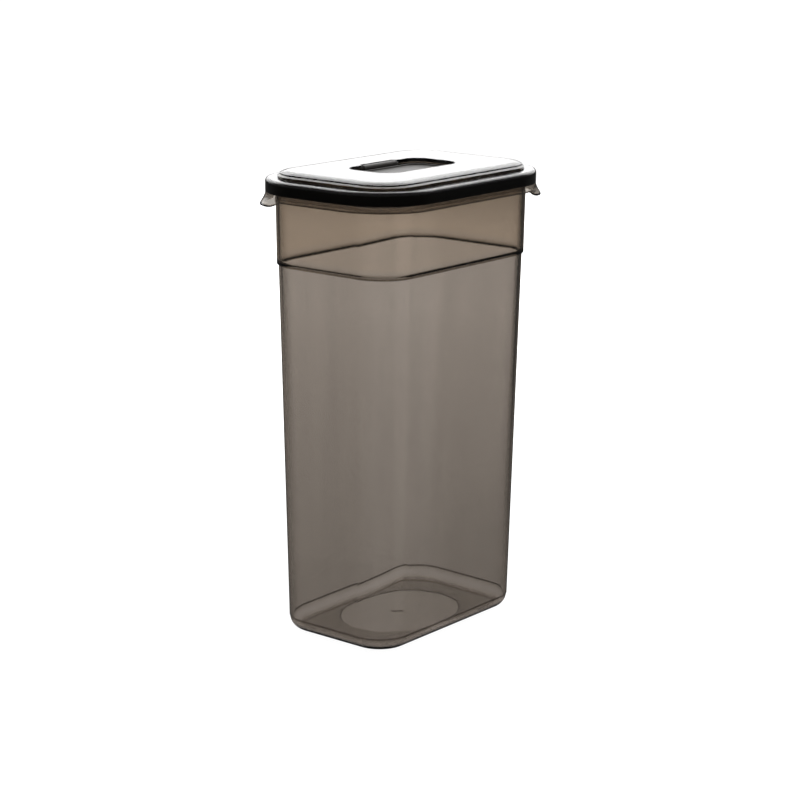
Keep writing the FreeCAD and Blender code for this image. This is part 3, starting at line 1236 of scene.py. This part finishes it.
@dataclass(frozen=True)
class PourFlap:
    """The flap: beaded plate, plug ring, thumb rib, hinge barrel with its web and stubs, and the gasket."""

    panel: LidPanel
    gap: float = 0.4
    sink: float = 3.6
    thickness: float = 1.8
    bead_set_in: float = 0.9
    bead_width: float = 1.2
    bead_height: float = 0.8
    bead_foot: float = 0.15
    bead_round: float = 0.42
    under_edge: float = 0.3
    plate_edge: float = 0.45
    core_share: float = 0.4
    plug_gap: float = 1.2
    plug_wall: float = 1.4
    plug_depth: float = 1.8
    plug_root: float = 0.3
    ring_edge: float = 0.25
    rib: Outline = Outline(22.0, 1.5, 0.7)
    rib_y: float = -8.71
    rib_height: float = 1.6
    rib_root: float = 0.5
    rib_edge: float = 0.5
    bar_core: float = 0.6
    barrel_half: float = 14.0
    barrel_radius: float = 1.7
    barrel_sink: float = 0.1
    barrel_reach: float = 1.3
    barrel_edge: float = 0.25
    barrel_hold: float = 0.475
    web: Outline = Outline(28.0, 1.75, 0.4)
    web_set_back: float = 0.8
    web_edge: float = 0.2
    stub_radius: float = 0.8
    stub_length: float = 2.4
    stub_root: float = 0.02
    gasket_margin: float = 0.4
    gasket_width: float = 2.2
    gasket_thickness: float = 0.8
    slack: float = 0.03

    @property
    def top(self) -> float:
        """Height of the plate's upper face."""
        return self.panel.top - self.sink

    def plate(self) -> Shell:
        """The plate from its underside's centre out, up over the bead and in to its centre.

        Returns:
            The plate's shell.
        """
        shape = self.panel.recess.grown(-self.gap)
        bead = shape.grown(-self.bead_set_in)
        within = bead.grown(-self.bead_width)
        low, crest = self.top - self.thickness, self.top + self.bead_height
        centre = within.grown(-self.core_share * within.radius)
        turns = [
            Turn(centre, low),
            Turn(shape, low, self.under_edge),
            Turn(shape, self.top, self.plate_edge),
            Turn(bead, self.top, self.bead_foot),
            Turn(bead, crest, self.bead_round),
            Turn(within, crest, self.bead_round),
            Turn(within, self.top, self.bead_foot),
            Turn(centre, self.top),
        ]
        return wall_shell(turns, Lap.round_all(PLATE_STEPS), closed=False)

    def ring(self, outside: Outline, wall: float, low: float, high: float) -> Shell:
        """A ring of a wall's thickness inside an outline, between two heights."""
        inside, edge = outside.grown(-wall), self.ring_edge
        turns = [
            Turn(outside, low, edge),
            Turn(outside, high, edge),
            Turn(inside, high, edge),
            Turn(inside, low, edge),
        ]
        return wall_shell(turns, Lap.round_all(RING_STEPS), closed=True)

    def bar(self, shape: Outline, low: float, high: float, edge: float) -> Shell:
        """A solid bar of an outline between two heights, with rounded edges."""
        core = shape.grown(-self.bar_core * shape.radius)
        turns = [Turn(core, low), Turn(shape, low, edge), Turn(shape, high, edge), Turn(core, high)]
        return wall_shell(turns, Lap.round_all(BAR_STEPS), closed=False)

    def hinge(self) -> list[Shell]:
        """The barrel with its stubs, turned about the hinge line, and the web that carries it.

        Returns:
            The barrel's and the web's shells.
        """
        y = self.panel.recess.width / 2 - self.barrel_reach + self.barrel_radius
        z = self.panel.top - self.barrel_sink - self.barrel_radius
        half, radius = self.barrel_half, self.barrel_radius
        stub, edge = self.stub_radius, self.barrel_edge
        end = half + self.stub_length
        right = [
            (half - edge, radius),
            (half - edge / 3, radius - edge / 3),
            (half, radius - edge),
            (half + self.stub_root, stub),
            (end - edge, stub),
            (end, stub - edge),
        ]
        left = [(-x, r) for x, r in reversed(right)]
        middle = [(x, radius) for x in (self.barrel_hold - half, half - self.barrel_hold)]
        barrel = Shell.turned(left + middle + right, y, z, BARREL_STEPS)
        web_y = y - radius + self.web_set_back + self.web.width / 2
        web = self.bar(self.web, self.top - self.thickness, z, self.web_edge).moved(0, web_y, 0)
        return [barrel, web]

    def dress(self, finishes: Finishes) -> None:
        """Makes the flap in satin smoke and its gasket in black silicone.

        Args:
            finishes: the keeper's materials.
        """
        low = self.top - self.thickness
        mouth = self.panel.recess.grown(-self.panel.ledge_width)
        plug = self.ring(
            mouth.grown(-self.plug_gap),
            self.plug_wall,
            low - self.gasket_thickness - self.plug_depth,
            low + self.plug_root,
        )
        rib = self.bar(self.rib, low + self.rib_root, self.top + self.rib_height, self.rib_edge)
        rib = rib.moved(0, self.rib_y, 0)
        flap = make_piece("flap", [self.plate(), plug, rib, *self.hinge()], finishes.flap)
        seat(flap, Body.FLAP, "pour_flap")
        gasket = self.ring(
            mouth.grown(self.gasket_margin + self.gasket_width),
            self.gasket_width,
            low - self.gasket_thickness + self.slack,
            low - self.slack,
        )
        seat(make_piece("gasket", [gasket], finishes.seal), Body.FLAP, "flap_seal")


@dataclass(frozen=True)
class Studio:
    """The pale floor, the soft light all round, and the camera.

    Attributes:
        camera: the camera's place.
        heading: angle of the view from +Y towards -X, in degrees.
        pitch: how far it looks down, in radians.
        roll: how far it leans anticlockwise, in radians.
        lens: focal length, in millimetres.
        sensor: width of the picture in the camera, in millimetres.
        shift: shift of the picture across and up.
        clip: nearest and furthest that it sees, in metres.
        bounces: most turns of a light path in all, through walls and off mirrors.
        front: brightness of the room on the camera's side.
        back: brightness of the lamps behind and above the keeper.
        lift: height of the lamps' middle, in degrees.
        lamp_spread: from where to where they brighten towards their middle.
        lamp_rise: from where to where they brighten above the horizon.
        lamp_low: share of their light low down.
        lamp_full: from where to where that share grows to all of it.
        dusk: brightness below the horizon all round.
        under: brightness added there behind the keeper.
        under_spread: from where to where it is added.
        horizon: from where to where the room begins.
        backdrop: brightness of the plain paper behind the keeper, where the camera sees that.
        floor_half: half the floor's side, in metres.
        floor_gap: how far the floor lies under the base, in millimetres.
    """

    camera: Colour = (-0.9511, -0.7694, 0.4266)
    heading: float = -51.03
    pitch: float = 0.23954
    roll: float = 0.00703
    lens: float = 100.5
    sensor: float = 36.0
    shift: tuple[float, float] = (-0.0016, -0.0016)
    clip: tuple[float, float] = (0.01, 100.0)
    bounces: tuple[int, int, int] = (32, 28, 8)
    front: float = 0.2
    back: float = 3.5
    lift: float = 35.0
    lamp_spread: tuple[float, float] = (0.45, 0.85)
    lamp_rise: tuple[float, float] = (0.05, 0.125)
    lamp_low: float = 0.6
    lamp_full: tuple[float, float] = (0.25, 0.5)
    dusk: float = 0.02
    under: float = 0.03
    under_spread: tuple[float, float] = (-0.3, 0.6)
    horizon: tuple[float, float] = (-0.03, -0.005)
    backdrop: float = 1.0
    floor_half: float = 60.0
    floor_gap: float = 0.05

    @property
    def ahead(self) -> Colour:
        """The view's level direction."""
        turn = math.radians(self.heading)
        return (-math.sin(turn), math.cos(turn), 0.0)

    def floor(self, finish: bpy.types.Material) -> None:
        """A flat square just under the base, on a grid of two by two points."""
        side = np.array([-self.floor_half, self.floor_half])
        x, y = np.meshgrid(side, side)
        points = np.stack([x, y, np.full_like(x, -self.floor_gap * MILLIMETRE)], 2).reshape(-1, 3)
        mesh = bpy.data.meshes.new("floor")
        mesh.from_pydata(points.tolist(), [], [[0, 1, 3, 2]])
        mesh.materials.append(finish)
        sheet = bpy.data.objects.new("floor", mesh)
        bpy.context.scene.collection.objects.link(sheet)
        sheet.visible_glossy = False

    def light(self) -> None:
        """Soft light from all round, strong from the lamps behind and above the keeper, faint from below.

        With s a smooth step, d a direction and z its height, it is front + (back - front) * lamp above the
        horizon, where lamp = s(d . lamps) * s(z) * (low + (1 - low) * s(z)), each s with its own ends.
        Below the horizon it is dusk + under * s(d . ahead). What the camera sees past the keeper is the
        plain backdrop.
        """
        world = bpy.data.worlds.new("studio")
        world.use_nodes = True
        board = Board(world.node_tree)
        way = board.node("ShaderNodeTexCoord", output="Generated")
        lift = math.radians(self.lift)
        lamps = (self.ahead[0] * math.cos(lift), self.ahead[1] * math.cos(lift), math.sin(lift))

        def share(side: Colour, ends: tuple[float, float]) -> Signal:
            """Smooth step of a direction's share along a side."""
            return board.climb(board.along(way, side), *ends, SMOOTH)

        full = self.lamp_low + (1 - self.lamp_low) * share(UP, self.lamp_full)
        lamp = share(lamps, self.lamp_spread) * share(UP, self.lamp_rise) * full
        sky = self.front + (self.back - self.front) * lamp
        ground = self.dusk + self.under * share(self.ahead, self.under_spread)
        room = ground + (sky - ground) * share(UP, self.horizon)
        strength = room + (self.backdrop - room) * board.from_camera()
        glow = board.node("ShaderNodeBackground", sockets={"Color": opaque(WHITE), "Strength": strength})
        board.node("ShaderNodeOutputWorld", sockets={"Surface": glow})
        bpy.context.scene.world = world

    def view(self) -> None:
        """The camera of the photograph, and plain colours with room for light to pass many walls."""
        turn = math.radians(self.heading)
        ahead = Vector(self.ahead) * math.cos(self.pitch)
        ahead.z = -math.sin(self.pitch)
        right = Vector((math.cos(turn), math.sin(turn), 0))
        axes = Matrix((right, right.cross(ahead), -ahead)).transposed().to_4x4()
        data = bpy.data.cameras.new("camera")
        data.lens, data.sensor_width = self.lens, self.sensor
        data.shift_x, data.shift_y = self.shift
        data.clip_start, data.clip_end = self.clip
        camera = bpy.data.objects.new("camera", data)
        camera.matrix_world = Matrix.Translation(self.camera) @ axes @ Matrix.Rotation(self.roll, 4, "Z")
        scene = bpy.context.scene
        scene.collection.objects.link(camera)
        scene.camera = camera
        scene.view_settings.view_transform = "Standard"
        rays = scene.cycles
        rays.max_bounces, rays.transmission_bounces, rays.glossy_bounces = self.bounces


def main() -> None:
    """Builds the keeper from the tub up, then the studio."""
    logging.basicConfig(level=logging.INFO, format="%(name)s: %(message)s")
    studio = Studio()
    finishes = Finishes.mixed(studio.ahead)
    tub = Tub.from_frame()
    rim = LidFrame.from_frame(tub)
    panel = LidPanel.from_frame(rim)
    for part in (tub, RimSeal.from_frame(tub), rim, panel, PourFlap(panel)):
        part.dress(finishes)
        log.info("%s dressed", type(part).__name__)
    studio.floor(finishes.table)
    studio.light()
    studio.view()


if __name__ == "__main__":
    main()
